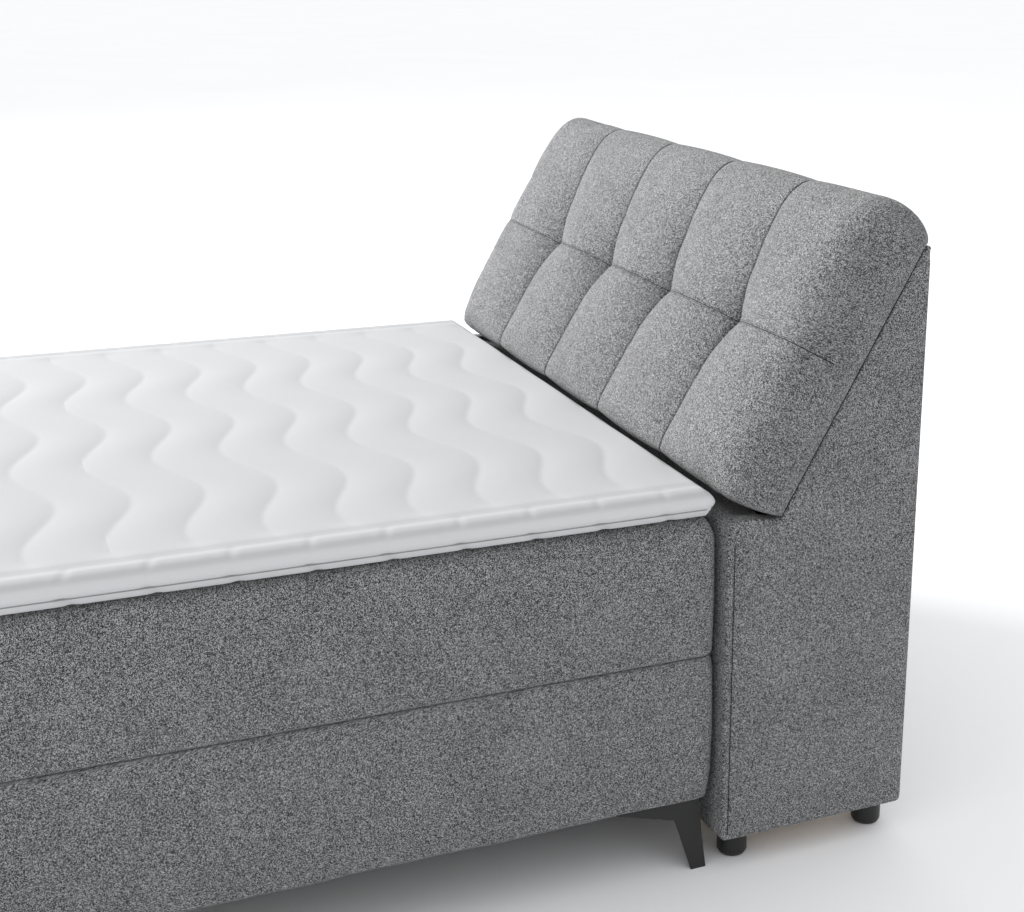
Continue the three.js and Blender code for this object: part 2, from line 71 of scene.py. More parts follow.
SIDE_LOW, SIDE_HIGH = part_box("headboard_side_right")
HALF_HEADBOARD = SIDE_HIGH.x
SIDE_INSIDE = SIDE_LOW.x
HEADBOARD_FRONT, HEADBOARD_REAR = SIDE_LOW.y, SIDE_HIGH.y
BACK_LOW, BACK_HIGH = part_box("headboard_back")

JOINTS = {joint["name"]: joint for joint in frame["joints"]}
HEAD_HINGE = JOINTS["head_lift"]["pos_m"][1]
THIGH_HINGE = JOINTS["thigh_lift"]["pos_m"][1]
HEAD_ANGLE = math.radians(JOINTS["head_lift"]["range_deg"][1])
THIGH_ANGLE = math.radians(JOINTS["thigh_lift"]["range_deg"][1])

# The bedding is cut where it lies still: one piece for each hinge, with the places between which it would
# bend.
HEAD_CUT = HEAD_HINGE - 0.16
THIGH_CUT = HEAD_CUT - 0.34
HEAD_BEND = (HEAD_CUT, HEAD_CUT + 0.49)
THIGH_BEND = (HEAD_CUT, THIGH_CUT)
KNEE_BEND = (THIGH_CUT, THIGH_CUT - 0.28)

# -------------------------------- mesh building


def unit(rows):
    """Each row of an array at length 1."""
    return rows / np.linalg.norm(rows, axis=1, keepdims=True)


def lengths_along(points, axis):
    """Running length of a grid of points along one of its two directions."""
    steps = np.linalg.norm(np.diff(points, axis=axis), axis=2)
    start = np.zeros_like(np.take(steps, [0], axis=axis))
    return np.cumsum(np.concatenate([start, steps], axis=axis), axis=axis)


def cells(grid):
    """The four corners of every cell of a grid, one row for each cell."""
    turned = [grid[:-1, :-1], grid[:-1, 1:], grid[1:, 1:], grid[1:, :-1]]
    stacked = np.stack(turned, axis=2)
    return stacked.reshape(-1, 4, *grid.shape[2:])


def make_object(name, points, faces, corner_uvs, sharp_angle=50):
    """A smooth-shaded mesh with UVs in metres, its normals turned outwards."""
    mesh = bpy.data.meshes.new(name)
    mesh.from_pydata(np.asarray(points, float).tolist(), [], faces)
    layer = mesh.uv_layers.new(name="weave")
    layer.data.foreach_set("uv", np.asarray(corner_uvs, np.float32).ravel())
    bm = bmesh.new()
    bm.from_mesh(mesh)
    bmesh.ops.remove_doubles(bm, verts=bm.verts, dist=1e-6)
    bmesh.ops.recalc_face_normals(bm, faces=bm.faces)
    bm.to_mesh(mesh)
    bm.free()
    mesh.polygons.foreach_set("use_smooth", [True] * len(mesh.polygons))
    mesh.set_sharp_from_angle(angle=math.radians(sharp_angle))
    ob = bpy.data.objects.new(name, mesh)
    bpy.context.scene.collection.objects.link(ob)
    return ob


def grid_faces(points, start=0):
    """Faces and corner UVs of a grid of points whose numbering begins at start."""
    rows, columns = points.shape[:2]
    index = start + np.arange(rows * columns).reshape(rows, columns)
    uv = np.stack([lengths_along(points, 1), lengths_along(points, 0)], axis=-1)
    return cells(index).tolist(), cells(uv).reshape(-1, 2)


def closed_loft(rings, cap_axes):
    """Points, faces and corner UVs of a closed form through rings, with a flat face at each end."""
    rows, columns = rings.shape[:2]
    index = np.arange(rows * columns).reshape(rows, columns)
    wrapped_index = np.concatenate([index, index[:, :1]], axis=1)
    wrapped = np.concatenate([rings, rings[:, :1]], axis=1)
    around = np.broadcast_to(lengths_along(wrapped, 1)[rows // 2], wrapped.shape[:2])
    uv = np.stack([around, lengths_along(wrapped, 0)], axis=-1)
    faces = cells(wrapped_index).tolist()
    uvs = [cells(uv).reshape(-1, 2)]
    for row in (0, rows - 1):
        faces.append(index[row].tolist())
        uvs.append(rings[row][:, cap_axes])
    return rings.reshape(-1, 3), faces, np.concatenate(uvs)


def tube(path, radius, sides=6):
    """A closed tube along a path: rings of points for closed_loft."""
    path = np.asarray(path, float)
    ahead = unit(np.gradient(path, axis=0))
    up = np.where(np.abs(ahead[:, 2:]) > 0.9, [[1.0, 0.0, 0.0]], [[0.0, 0.0, 1.0]])
    across = unit(np.cross(up, ahead))
    up = np.cross(ahead, across)
    turn = np.linspace(0, 2 * math.pi, sides, endpoint=False)
    wheel = across[:, None] * np.cos(turn)[None, :, None] + up[:, None] * np.sin(turn)[None, :, None]
    return path[:, None] + radius * wheel


def merge(parts):
    """Several sets of points, faces and corner UVs as one."""
    points, faces, uvs, start = [], [], [], 0
    for part_points, part_faces, part_uvs in parts:
        points.append(part_points)
        uvs.append(part_uvs)
        faces += [[start + i for i in face] for face in part_faces]
        start += len(part_points)
    return np.concatenate(points), faces, np.concatenate(uvs)


def smoothstep(value, low, high):
    """A soft step: 0 at low and 1 at high."""
    t = np.clip((np.asarray(value, float) - low) / (high - low), 0, 1)
    return t * t * (3 - 2 * t)


def stations(low, high, step):
    """Even places from low to high, about a step apart."""
    return np.linspace(low, high, max(2, int(round((high - low) / step)) + 1))


# -------------------------------- materials


class Shader:
    """Builds one material's nodes: each call adds a node and links its inputs."""

    def __init__(self, name):
        self.material = bpy.data.materials.new(name)
        self.material.use_nodes = True
        self.tree = self.material.node_tree
        self.surface = self.tree.nodes["Principled BSDF"]

    def add(self, kind, settings=None, **inputs):
        node = self.tree.nodes.new(f"ShaderNode{kind}")
        for key, value in (settings or {}).items():
            setattr(node, key, value)
        for key, value in inputs.items():
            self.put(node.inputs[self.socket(key)], value)
        return node

    @staticmethod
    def socket(key):
        if key.startswith("in"):
            return int(key[2:])
        return key.replace("_", " ")

    def put(self, socket, value):
        if isinstance(value, bpy.types.NodeSocket):
            self.tree.links.new(value, socket)
        else:
            socket.default_value = value

    def coordinates(self, source, scale):
        place = self.add("TexCoord").outputs[source]
        return self.add("Mapping", in0=place, Scale=scale).outputs[0]

    def noise(self, place, scale=1.0, detail=2.0, roughness=0.5):
        node = self.add("TexNoise", Vector=place, Scale=scale, Detail=detail, Roughness=roughness)
        return node.outputs["Factor"] if "Factor" in node.outputs else node.outputs["Fac"]

    def math(self, operation, a, b=0.0):
        return self.add("Math", {"operation": operation}, in0=a, in1=b).outputs[0]

    def ramp(self, factor, *stops):
        node = self.add("ValToRGB", in0=factor)
        elements = node.color_ramp.elements
        while len(elements) < len(stops):
            elements.new(0.5)
        for element, (position, color) in zip(elements, stops):
            element.position = position
            element.color = (*color, 1)
        return node.outputs[0]

    def bump(self, height, strength, distance):
        return self.add("Bump", Height=height, Strength=strength, Distance=distance).outputs[0]

    def finish(self, **inputs):
        for key, value in inputs.items():
            self.put(self.surface.inputs[key.replace("_", " ")], value)
        return self.material


def grey(level):
    """A nearly neutral, slightly cool colour from an 8-bit sRGB level."""
    value = level / 255
    linear = value / 12.92 if value <= 0.04045 else ((value + 0.055) / 1.055) ** 2.4
    return (linear, linear * 1.01, linear * 1.03)


def woven_material(name, dark, middle, light, yarn=0.0011, float_length=1.8):
    """Melange upholstery in plain weave: each yarn changes shade every few crossings."""
    shader = Shader(name)
    place = shader.coordinates("UV", (1 / yarn, 1 / yarn, 1))
    across, along, _ = shader.add("SeparateXYZ", in0=place).outputs
    warp, weft = shader.math("FLOOR", across), shader.math("FLOOR", along)

    def shade(number, run, offset):
        """The shade of a yarn at a place along it, in stretches that start anywhere."""
        start = shader.add("TexWhiteNoise", {"noise_dimensions": "1D"}, W=shader.math("ADD", number, offset))
        moved = shader.math("ADD", shader.math("DIVIDE", run, float_length), start.outputs["Value"])
        cell = shader.add("CombineXYZ", X=number, Y=shader.math("FLOOR", moved), Z=offset)
        return shader.add("TexWhiteNoise", Vector=cell.outputs[0]).outputs["Value"]

    warp_shade, weft_shade = shade(warp, along, 0.5), shade(weft, across, 37.5)
    over = shader.math("PINGPONG", shader.math("ADD", warp, weft), 1.0)
    shades = shader.add("Mix", in0=over, in2=warp_shade, in3=weft_shade).outputs[0]
    fuzz = shader.noise(shader.coordinates("UV", (900, 900, 1)), 1.0, 2.0)
    cloud = shader.noise(shader.coordinates("UV", (9, 9, 1)), 1.0, 3.0)
    tone = shader.math("ADD", shades, shader.math("MULTIPLY", shader.math("SUBTRACT", fuzz, 0.5), 0.5))
    tone = shader.math("ADD", tone, shader.math("MULTIPLY", shader.math("SUBTRACT", cloud, 0.5), 0.15))
    color = shader.ramp(tone, (0.05, grey(dark)), (0.5, grey(middle)), (0.95, grey(light)))
    warp_round = shader.math("SINE", shader.math("MULTIPLY", shader.math("FRACT", across), math.pi))
    weft_round = shader.math("SINE", shader.math("MULTIPLY", shader.math("FRACT", along), math.pi))
    height = shader.add("Mix", in0=over, in2=warp_round, in3=weft_round).outputs[0]
    return shader.finish(
        Base_Color=color, Roughness=0.92, Sheen_Weight=0.12, Sheen_Roughness=0.5,
        Specular_IOR_Level=0.25, Normal=shader.bump(height, 0.3, 0.0005))


# Places of the knit's shades on its ramp, which the topper's points carry, and their greys; the border's
# lighter grey is painted light
KNIT_TONES = PIPING_TONE, TOP_TONE, BORDER_PAINTED_LIGHT_TONE = 0.0, 0.5, 1.0
KNIT_GREYS = 140, 178, 200


def knit_material(name):
    """White double jersey: fine loops, nearly matt; the piping is darker, and the border is painted lighter
    than the top as painted light.
    """
    shader = Shader(name)
    loops = shader.noise(shader.coordinates("UV", (1 / 0.0018, 1 / 0.0024, 1)), 1.0, 1.0)
    tone = shader.add("Attribute", {"attribute_name": "tone"}).outputs["Fac"]
    # painted light: the border's tone takes the lightest grey
    color = shader.ramp(tone, *zip(KNIT_TONES, map(grey, KNIT_GREYS)))
    return shader.finish(
        Base_Color=color, Roughness=0.85, Sheen_Weight=0.2, Sheen_Roughness=0.4,
        Specular_IOR_Level=0.3, Normal=shader.bump(loops, 0.12, 0.0006))


def grained_material(name, dark, light, size, roughness, metallic=0.0, stretch=(1, 1, 1), bump=0.2):
    """Coated, moulded or rolled surfaces: a fine grain of the given size in metres."""
    shader = Shader(name)
    scale = tuple(1 / (size * s) for s in stretch)
    grain = shader.noise(shader.coordinates("Object", scale), 1.0, 3.0, 0.6)
    wear = shader.noise(shader.coordinates("Object", (9, 9, 9)), 1.0, 4.0)
    shade = shader.math("ADD", shader.math("MULTIPLY", grain, 0.6), shader.math("MULTIPLY", wear, 0.4))
    color = shader.ramp(shade, (0.3, dark), (0.7, light))
    spread = shader.math("ADD", roughness - 0.06, shader.math("MULTIPLY", wear, 0.12))
    return shader.finish(
        Base_Color=color, Roughness=spread, Metallic=metallic,
        Normal=shader.bump(grain, bump, size * 0.5))


def chipboard_material():
    """Raw particle board: pale chips of many sizes."""
    shader = Shader("chipboard")
    chips = shader.add("TexVoronoi", Vector=shader.coordinates("Object", (160, 160, 160)), Scale=1.0)
    fine = shader.noise(shader.coordinates("Object", (420, 420, 420)), 1.0, 2.0)
    coarse = shader.math("MULTIPLY", chips.outputs["Distance"], 0.5)
    tone = shader.math("ADD", coarse, shader.math("MULTIPLY", fine, 0.6))
    color = shader.ramp(tone, (0.3, (0.30, 0.20, 0.11)), (0.75, (0.56, 0.42, 0.26)))
    return shader.finish(Base_Color=color, Roughness=0.85, Normal=shader.bump(tone, 0.3, 0.0006))


def plywood_material():
    """Rotary-cut birch faces: long, fine grain across the bed."""
    shader = Shader("plywood")
    grain = shader.noise(shader.coordinates("Object", (3, 90, 90)), 1.0, 4.0, 0.6)
    figure = shader.noise(shader.coordinates("Object", (1.2, 14, 14)), 1.0, 3.0)
    tone = shader.math("ADD", shader.math("MULTIPLY", grain, 0.5), shader.math("MULTIPLY", figure, 0.5))
    color = shader.ramp(tone, (0.3, (0.42, 0.27, 0.13)), (0.72, (0.66, 0.49, 0.30)))
    return shader.finish(Base_Color=color, Roughness=0.6, Normal=shader.bump(grain, 0.15, 0.0004))


def felt_material():
    """Black non-woven dust cloth: matted fibres."""
    shader = Shader("black_felt")
    fibres = shader.noise(shader.coordinates("Object", (500, 500, 500)), 1.0, 3.0, 0.7)
    color = shader.ramp(fibres, (0.3, grey(18)), (0.7, grey(44)))
    return shader.finish(Base_Color=color, Roughness=0.95, Normal=shader.bump(fibres, 0.4, 0.0008))


WEAVE = woven_material("grey_weave", 24, 84, 174)
KNIT = knit_material("white_knit")
THREAD = woven_material("seam_thread", 40, 60, 84, 0.0004)
# painted shadow: the near-black material of the dark lines laid in seams and creases
SEAM_SHADOW = woven_material("seam_shadow", 16, 24, 34, 0.0004)
CAD_MATERIALS = {
    "black_felt": felt_material(),
    "chipboard": chipboard_material(),
    "plywood": plywood_material(),
    "dark_steel": grained_material("dark_steel", grey(38), grey(58), 0.0012, 0.5, 0.6),
    "bright_steel": grained_material(
        "bright_steel", grey(150), grey(196), 0.0008, 0.32, 1.0, stretch=(12, 1, 1)),
    "leg_black": grained_material("leg_black", grey(15), grey(25), 0.0010, 0.48, bump=0.3),
    "black_plastic": grained_material("black_plastic", grey(12), grey(20), 0.0007, 0.42, bump=0.2),
}


def dress(ob, material):
    ob.data.materials.clear()
    ob.data.materials.append(material)
    return ob


# -------------------------------- bedding


def mirrored(half):
    """A whole section from its right half, which runs from the underside's middle to the top's."""
    half = np.asarray(half, float)
    left = half[1:-1][::-1] * [-1, 1]
    return np.concatenate([half, left])


def arc(centre, radius, start, end, count):
    turn = np.radians(np.linspace(start, end, count))
    return np.stack([centre[0] + radius * np.cos(turn), centre[1] + radius * np.sin(turn)], axis=1)


def end_rows(low, high, low_rounded, high_rounded, step, depth):
    """Places of a loft's rows along the bed, each with how far it has gone into a rounded end."""
    turn = np.linspace(0, math.pi / 2, 7)
    first = low + depth if low_rounded else low
    last = high - depth if high_rounded else high
    rows = [(y, 0.0) for y in stations(first, last, step)]
    if low_rounded:
        rows = [(first - depth * math.sin(a), 1 - math.cos(a)) for a in turn[:0:-1]] + rows
    if high_rounded:
        rows = rows + [(last + depth * math.sin(a), 1 - math.cos(a)) for a in turn[1:]]
    return rows


def with_end_faces(rings, low_rounded, high_rounded, bulge):
    """Adds shrinking rings at the rounded ends, so that the end faces crown a little."""
    result = list(rings)
    for at_start, rounded in ((True, low_rounded), (False, high_rounded)):
        if not rounded:
            continue
        ring = result[0] if at_start else result[-1]
        middle = (ring[:, 2].max() + ring[:, 2].min()) / 2
        half_height = (ring[:, 2].max() - ring[:, 2].min()) / 2
        outward = -1 if at_start else 1
        for share in (0.94, 0.82, 0.62, 0.38, 0.12):
            inner = ring.copy()
            inner[:, 2] = middle + (ring[:, 2] - middle) * share
            inner[:, 0] -= np.sign(ring[:, 0]) * np.minimum(np.abs(ring[:, 0]), (1 - share) * half_height)
            inner[:, 1] += outward * bulge * (1 - share * share)
            result = [inner] + result if at_start else result + [inner]
    return np.array(result)


def deck_lag(y, hinge, angle, bend):
    """How far the smoothly bending bedding would sink into the deck's plates at full lift."""
    weight = smoothstep(abs(y - bend[0]), 0, abs(bend[1] - bend[0]))
    beyond = (y - hinge) * (bend[1] - bend[0]) > 0
    share = 1 - weight if beyond else weight
    inside = min(bend) < y < max(bend)
    return abs(y - hinge) * math.sin(share * angle) if inside else 0.0


def underside_relief(y):
    lag = max(deck_lag(y, HEAD_HINGE, HEAD_ANGLE, HEAD_BEND),
              deck_lag(y, THIGH_HINGE, THIGH_ANGLE, THIGH_BEND))
    return lag + 0.002 * min(1.0, lag / 0.004)


MATTRESS_EDGE = 0.022
MATTRESS_SHOULDER = 0.042
MATTRESS_FOOT_EDGE = 0.010


def mattress_section(y, into_end):
    half = HALF_BED - MATTRESS_EDGE * into_end
    high = MATTRESS_HIGH - MATTRESS_SHOULDER * into_end
    low = MATTRESS_LOW + MATTRESS_FOOT_EDGE * into_end
    shoulder = MATTRESS_SHOULDER * (1 - into_end) + 0.0004
    foot = MATTRESS_FOOT_EDGE * (1 - into_end) + 0.0004
    relief = underside_relief(y)
    under = [(x, low + relief) for x in (0, 0.15, 0.3, 0.45, 0.58, 0.650)]
    under.append((min(HALF_DECK + 0.006, half - foot - 0.001), low))
    side_z = np.linspace(low + foot, high - shoulder, 11)[1:-1]
    swell = 0.0035 * np.sin(math.pi * np.linspace(0, 1, 11)[1:-1])
    side = np.stack([half + swell - 0.0005, side_z], axis=1)
    top_x = np.linspace(half - shoulder, 0, 9)[1:]
    top = np.stack([top_x, np.full(8, high)], axis=1)
    half_section = np.concatenate([
        under, arc((half - foot, low + foot), foot, -90, 0, 5), side,
        arc((half - shoulder, high - shoulder), shoulder, 0, 90, 8), top])
    return mirrored(half_section)


def loft_bedding(section, rows, low_rounded, high_rounded, bulge):
    """The rings of one part of the bedding, from its section at each row."""
    rings = []
    for y, into_end in rows:
        ring = section(y, into_end)
        rings.append(np.stack([ring[:, 0], np.full(len(ring), y), ring[:, 1]], axis=1))
    return with_end_faces(rings, low_rounded, high_rounded, bulge)


def bedding_parts():
    """Each part's name, range along the bed, rounded ends, bodies, bend and the CAD nodes under it."""
    return [
        ("head", HEAD_CUT, HEAD_END - 0.001, False, True, ("root", "head_section"), HEAD_BEND,
         ("head", "seat")),
        ("thigh", THIGH_CUT, HEAD_CUT, False, False, ("root", "thigh_section"), THIGH_BEND,
         ("thigh",)),
        ("calf", FOOT_END + 0.001, THIGH_CUT, True, False, ("thigh_section", "calf_section"), KNEE_BEND,
         ("calf",)),
    ]


def settle(ob):
    """Bakes a piece of bedding's transform into its mesh."""
    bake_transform(ob)


def make_mattress():
    for part, low, high, low_round, high_round, bodies, bend, nodes in bedding_parts():
        rows = end_rows(low, high, low_round, high_round, step=0.02, depth=MATTRESS_EDGE)
        rings = loft_bedding(mattress_section, rows, low_round, high_round, bulge=0.003)
        ob = make_object(f"mattress_cover_{part}", *closed_loft(rings, [0, 2]), sharp_angle=60)
        dress(ob, WEAVE)
        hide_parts(*[f"mattress_{node}" for node in nodes])
        if part in ("head", "thigh"):
            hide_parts(f"bedding_fold_{part}")
        settle(ob)


# Topper: quilted in sine lines across the bed
QUILT_PITCH = 0.1125
QUILT_WAVE = 0.395
QUILT_SWING = 0.028
QUILT_FIRST = 0.712
QUILT_DEPTH = 0.0030
BORDER_GROOVE = 0.050
GROOVE_WIDTH, GROOVE_DEPTH = 0.008, 0.002
PINCH_BELOW, PINCH_ABOVE = 0.0048, 0.0018
PIPING_HEIGHT = 0.0165
PIPING_RADIUS = 0.0011
PIPING_INSET = 0.0054
PIPING_END_INSET = 0.0075
PIPING_CORNER = 0.018
TOPPER_END_DEPTH = 0.020
BORDER_PAINTED_LIGHT_DEPTHS = (0.0015, 0.011)  # depths between which the border is painted lighter, as painted light


def quilt_phase(x, y):
    line = QUILT_FIRST + QUILT_SWING * np.cos(2 * math.pi * (x + 0.02) / QUILT_WAVE)
    return (y - line) / QUILT_PITCH


def line_distance(phase):
    """Distance to the nearest quilting line, in pitches."""
    return np.abs(phase - np.round(phase))


def quilt_height(x, y):
    """Height of the quilted top over its plain level: puffs between the lines, and a flat border."""
    puff = np.abs(np.sin(math.pi * quilt_phase(x, y))) ** 0.7 - 1
    side = HALF_BED - np.abs(x)
    inside = smoothstep(side, BORDER_GROOVE, BORDER_GROOVE + 0.05)
    groove = np.exp(-((side - BORDER_GROOVE) / GROOVE_WIDTH) ** 2)
    crease = np.exp(-(line_distance(quilt_phase(np.sign(x) * HALF_BED, y) - side * 2.2) / 0.05) ** 2)
    border = (1 - inside) * crease * 0.0012 * (side < BORDER_GROOVE)
    return QUILT_DEPTH * puff * inside - GROOVE_DEPTH * groove - border


# Topper edge from its underside to its top: distance in from the outermost line, and height
TOPPER_EDGE = np.array([
    (0.0260, 0.0000), (0.0200, 0.0010), (0.0150, 0.0030), (0.0115, 0.0060), (0.0090, 0.0095),
    (0.0070, 0.0125), (0.0058, 0.0145), (0.0054, 0.0158), (0.0056, 0.0168), (0.0050, 0.0180),
    (0.0034, 0.0196), (0.0016, 0.0225), (0.0006, 0.0265), (0.0010, 0.0310), (0.0034, 0.0355),
    (0.0080, 0.0395), (0.0140, 0.0425), (0.0215, 0.0442), (0.0300, 0.0449)])


def edge_pinch(y, height, sign):
    """How far the edge is drawn in at the end of each quilting line, more below the piping."""
    lean = (height - PIPING_HEIGHT) * 0.9 / QUILT_PITCH
    near = np.exp(-(line_distance(quilt_phase(sign * HALF_BED, y) + lean) / 0.07) ** 2)
    return near * np.where(height < PIPING_HEIGHT, PINCH_BELOW, PINCH_ABOVE)


def topper_section(y, into_end):
    half = HALF_BED - TOPPER_END_DEPTH * into_end
    top_x = np.linspace(half - 0.034, 0, 74)
    top = np.stack([top_x, np.full(74, TOPPER_HIGH)], axis=1)
    under = np.array([(0, 0), (0.3, 0), (0.6, 0), (0.66, 0)])
    under[:, 1] = TOPPER_LOW
    edge = np.stack([half - TOPPER_EDGE[:, 0], TOPPER_LOW + TOPPER_EDGE[:, 1]], axis=1)
    ring = mirrored(np.concatenate([under, edge, top]))
    height = ring[:, 1] - TOPPER_LOW
    at_edge = np.abs(ring[:, 0]) > half - 0.03
    pinch = np.where(at_edge, edge_pinch(y, height, np.sign(ring[:, 0])), 0)
    ring[:, 0] -= np.sign(ring[:, 0]) * pinch * (1 - into_end)
    on_top = height > 0.036
    ring[:, 1] += np.where(on_top, quilt_height(ring[:, 0], y), 0)
    ring[:, 1] = TOPPER_LOW + (ring[:, 1] - TOPPER_LOW) * (1 - 0.30 * into_end * (height > 0.0265))
    return ring


def shape_topper_end(rings, end, outward):
    """Gives the rounded end the same edge section as the long sides."""
    offsets = np.interp(rings[..., 2] - TOPPER_LOW, TOPPER_EDGE[:, 1], TOPPER_EDGE[:, 0])
    close = np.clip(1 - np.abs(rings[..., 1] - end) / 0.02, 0, 1)
    rings[..., 1] -= outward * close * np.minimum(offsets, 0.010)


def piping_path(low, high, low_rounded, high_rounded):
    """Runs of the piping cord round the part's edge: two straight runs, or one round an end."""
    x = HALF_BED - PIPING_INSET
    z = TOPPER_LOW + PIPING_HEIGHT
    y = stations(low, high, 0.02)
    if not (low_rounded or high_rounded):
        return [np.array([(side * x, v, z) for v in y]) for side in (1, -1)]
    end, sign = (high, 1) if high_rounded else (low, -1)
    radius = PIPING_CORNER
    clear = PIPING_END_INSET + radius + 0.004
    straight = [v for v in (y if high_rounded else y[::-1]) if abs(v - end) > clear]
    turn = np.linspace(0, math.pi / 2, 7)
    tip = end - sign * (PIPING_END_INSET + radius)
    corner = [(x - radius + radius * math.cos(a), tip + sign * radius * math.sin(a), z) for a in turn]
    right = [(x, v, z) for v in straight] + corner
    left = [(-px, py, pz) for px, py, pz in right[::-1]]
    across = [(v, tip + sign * radius, z) for v in np.linspace(x - radius, radius - x, 60)[1:-1]]
    return [np.array(right + across + left)]


def shade_topper(ob, cover_count):
    """Marks each point's shade: the cover comes first, painted lighter down its border as painted light, then
    the piping.
    """
    depth = TOPPER_HIGH - np.array([v.co.z for v in ob.data.vertices])
    tone = TOP_TONE + (BORDER_PAINTED_LIGHT_TONE - TOP_TONE) * smoothstep(depth, *BORDER_PAINTED_LIGHT_DEPTHS)
    tone[cover_count:] = PIPING_TONE
    values = ob.data.attributes.new("tone", "FLOAT", "POINT").data
    values.foreach_set("value", tone.astype(np.float32))


def make_topper():
    for part, low, high, low_round, high_round, bodies, bend, nodes in bedding_parts():
        rows = end_rows(low, high, low_round, high_round, step=0.005, depth=TOPPER_END_DEPTH)
        rings = loft_bedding(topper_section, rows, low_round, high_round, bulge=0.001)
        if low_round:
            shape_topper_end(rings, low, -1)
        if high_round:
            shape_topper_end(rings, high, 1)
        parts = [closed_loft(rings, [0, 2])]
        for path in piping_path(low, high, low_round, high_round):
            parts.append(closed_loft(tube(path, PIPING_RADIUS), [0, 2]))
        ob = make_object(f"topper_quilt_{part}", *merge(parts), sharp_angle=60)
        shade_topper(ob, len(rings.reshape(-1, 3)))
        dress(ob, KNIT)
        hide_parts(*[f"topper_{node}" for node in nodes])
        settle(ob)


# -------------------------------- box upholstery

# From the inner foot of the wrap round its outside to the inner top: inset and height
BOX_WRAP = [
    (0.0118, 0.0015), (0.0095, 0.0004), (0.0078, 0.0010), (0.0066, 0.0040), (0.0056, 0.0100),
    (0.0040, 0.0200), (0.0022, 0.0330), (0.0008, 0.0500), (-0.0004, 0.0750), (-0.0012, 0.1050),
    (-0.0014, 0.1350), (-0.0010, 0.1700), (-0.0004, 0.2000), (0.0002, 0.2250), (0.0010, 0.2400),
    (0.0024, 0.2500), (0.0046, 0.2565), (0.0074, 0.2595), (0.0100, 0.2598), (0.0118, 0.2585),
    (0.0120, 0.2400), (0.0120, 0.1300)]
BOX_CORNER = 0.020

# The box's hem: its height, its lift, and its waves by depth and rate
HEM_HEIGHT = 0.05
HEM_LIFT = 0.0010
HEM_WAVES = ((0.0010, 0.83), (0.0007, 2.1))


def plan_loop(inset, corner, step=0.05):
    """A rounded rectangle round the box in plan, anticlockwise from the head end's right corner."""
    x, low, high = HALF_BED - inset, FOOT_END + inset, HEAD_END - inset
    radius = max(corner - inset, 0.001)
    centres = [(x - radius, high - radius, 0), (radius - x, high - radius, 90),
               (radius - x, low + radius, 180), (x - radius, low + radius, 270)]
    counts = [int(2 * HALF_BED / step), int((HEAD_END - FOOT_END) / step)] * 2
    loop = []
    for i, (cx, cy, start) in enumerate(centres):
        loop.append(arc((cx, cy), radius, start, start + 90, 7))
        nx, ny, turn = centres[(i + 1) % 4]
        following = arc((nx, ny), radius, turn, turn, 1)[0]
        share = np.linspace(0, 1, counts[i] + 1)[1:-1, None]
        loop.append(loop[-1][-1] + share * (following - loop[-1][-1]))
    return np.concatenate(loop)


def make_box_upholstery():
    layers = []
    for inset, height in BOX_WRAP:
        loop = plan_loop(inset, BOX_CORNER)
        along = np.arange(len(loop))
        sag = sum(depth * np.sin(along * rate) for depth, rate in HEM_WAVES)
        low = max(0.0, 1 - height / HEM_HEIGHT)
        z = BOX_BOTTOM + height + HEM_LIFT * low + sag * low
        layers.append(np.column_stack([loop, z]))
    rings = np.array(layers).transpose(1, 0, 2)
    closed = np.concatenate([rings, rings[:1]])
    wrapped = np.concatenate([closed, closed[:, :1]], axis=1)
    ob = make_object("box_upholstery", wrapped.reshape(-1, 3), *grid_faces(wrapped), sharp_angle=75)
    dress(ob, WEAVE)
    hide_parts("side_pad_left", "side_pad_right", "foot_pad", "head_pad")
    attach(ob, "root")


# -------------------------------- headboard shell


def headboard_point(back, up):
    """A place on the headboard's side view, measured back from its front and up from the floor."""
    return (HEADBOARD_FRONT + back, up)


def rounded_outline(points, radii, step=0.02):
    """A closed outline with an arc at each corner and stations along its straights."""
    points = [np.array(p, float) for p in points]
    dense = []
    for i, corner in enumerate(points):
        before = points[i - 1] - corner
        after = points[(i + 1) % len(points)] - corner
        radius = min(radii[i], 0.45 * np.linalg.norm(before), 0.45 * np.linalg.norm(after))
        a = corner + before / np.linalg.norm(before) * radius
        b = corner + after / np.linalg.norm(after) * radius
        for t in np.linspace(0, 1, 7):
            dense.append((1 - t) ** 2 * a + 2 * t * (1 - t) * corner + t * t * b)
    loop = []
    for i, point in enumerate(dense):
        following = dense[(i + 1) % len(dense)]
        count = max(1, int(np.linalg.norm(following - point) / step))
        loop += [point + (following - point) * k / count for k in range(count)]
    return np.array(loop)


def distance_to(outline, points):
    """Shortest distance of each point to a closed outline."""
    best = np.full(len(points), 1e9)
    for a, b in zip(outline, np.roll(outline, -1, axis=0)):
        edge = b - a
        t = np.clip(((points - a) @ edge) / max(edge @ edge, 1e-12), 0, 1)
        best = np.minimum(best, np.linalg.norm(points - a - t[:, None] * edge, axis=1))
    return best


def inset_outline(outline, inset):
    """The outline moved inwards; it runs anticlockwise."""
    ahead = unit(np.roll(outline, -1, axis=0) - np.roll(outline, 1, axis=0))
    inward = np.stack([-ahead[:, 1], ahead[:, 0]], axis=1)
    return outline + inward * inset


